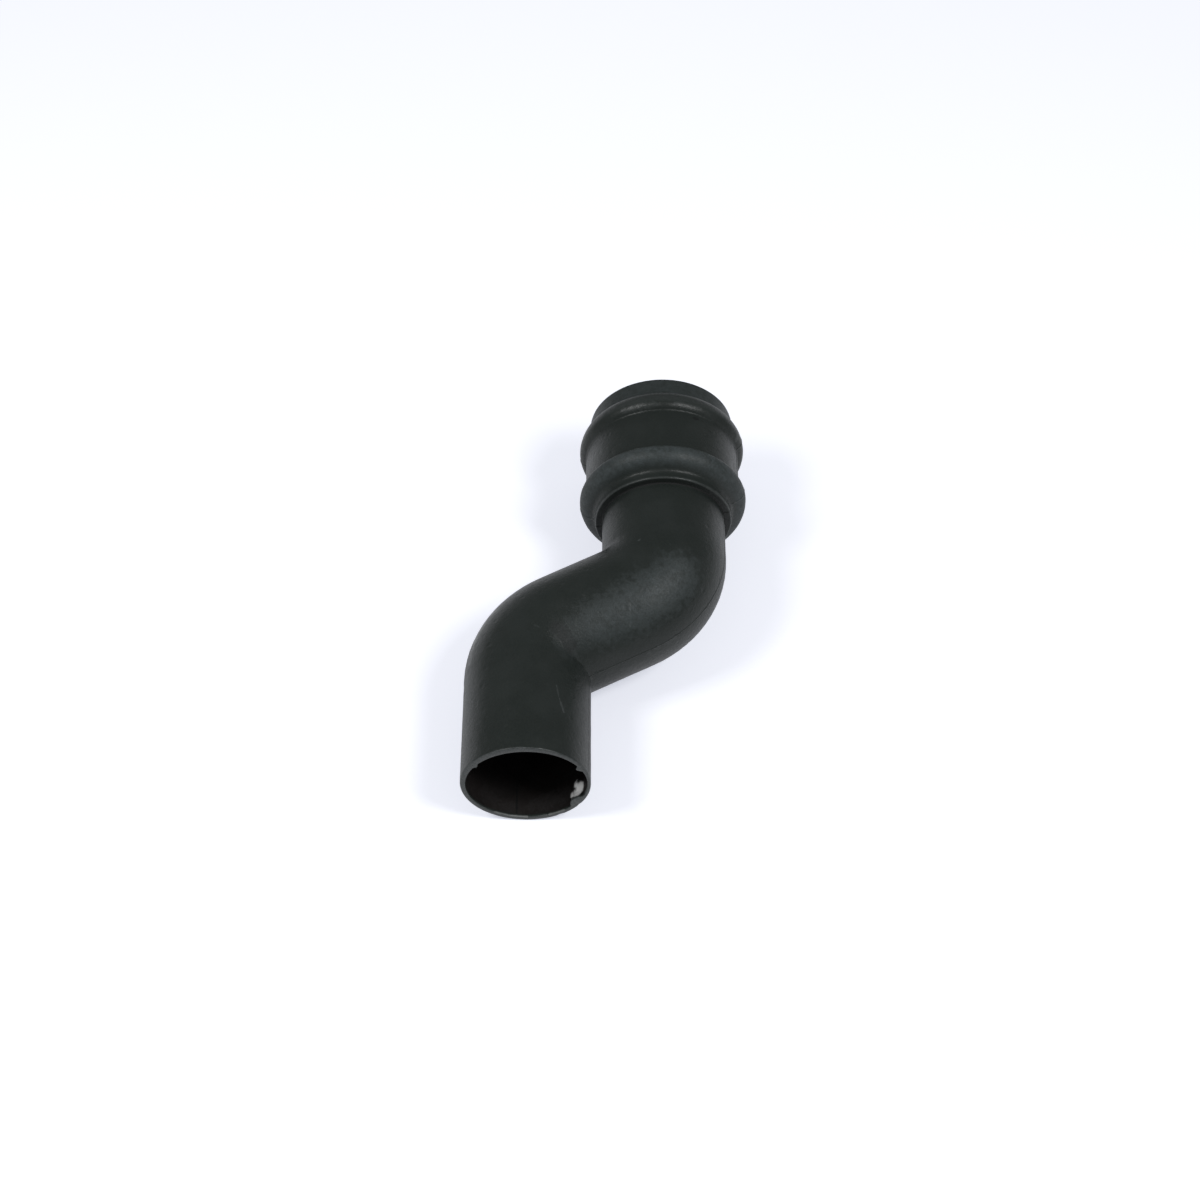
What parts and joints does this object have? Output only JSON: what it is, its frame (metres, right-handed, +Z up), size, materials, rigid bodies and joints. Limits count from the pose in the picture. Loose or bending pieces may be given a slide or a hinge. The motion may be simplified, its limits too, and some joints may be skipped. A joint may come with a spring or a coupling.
{
  "type": "downpipe offset",
  "caption": "Round downpipe offset cast as an S-bend, with a plain spigot and a beaded socket; it steps a rainwater pipe sideways past a projection of the wall.",
  "frame": {"origin": "centre of the bounding box's base, on the floor that the fitting lies on", "axes": "+Z up, +Y along both legs from the spigot's end to the socket's mouth, +X towards the side that the socket is offset to; lying at rest on the spigot and both beads"},
  "size_m": [0.1546, 0.2368, 0.093],
  "materials": {
    "casting": "matt black coating on a sand casting, lightly scuffed"
  },
  "bodies": {
    "root": {"downpipe_offset": "casting"}
  },
  "joints": []
}
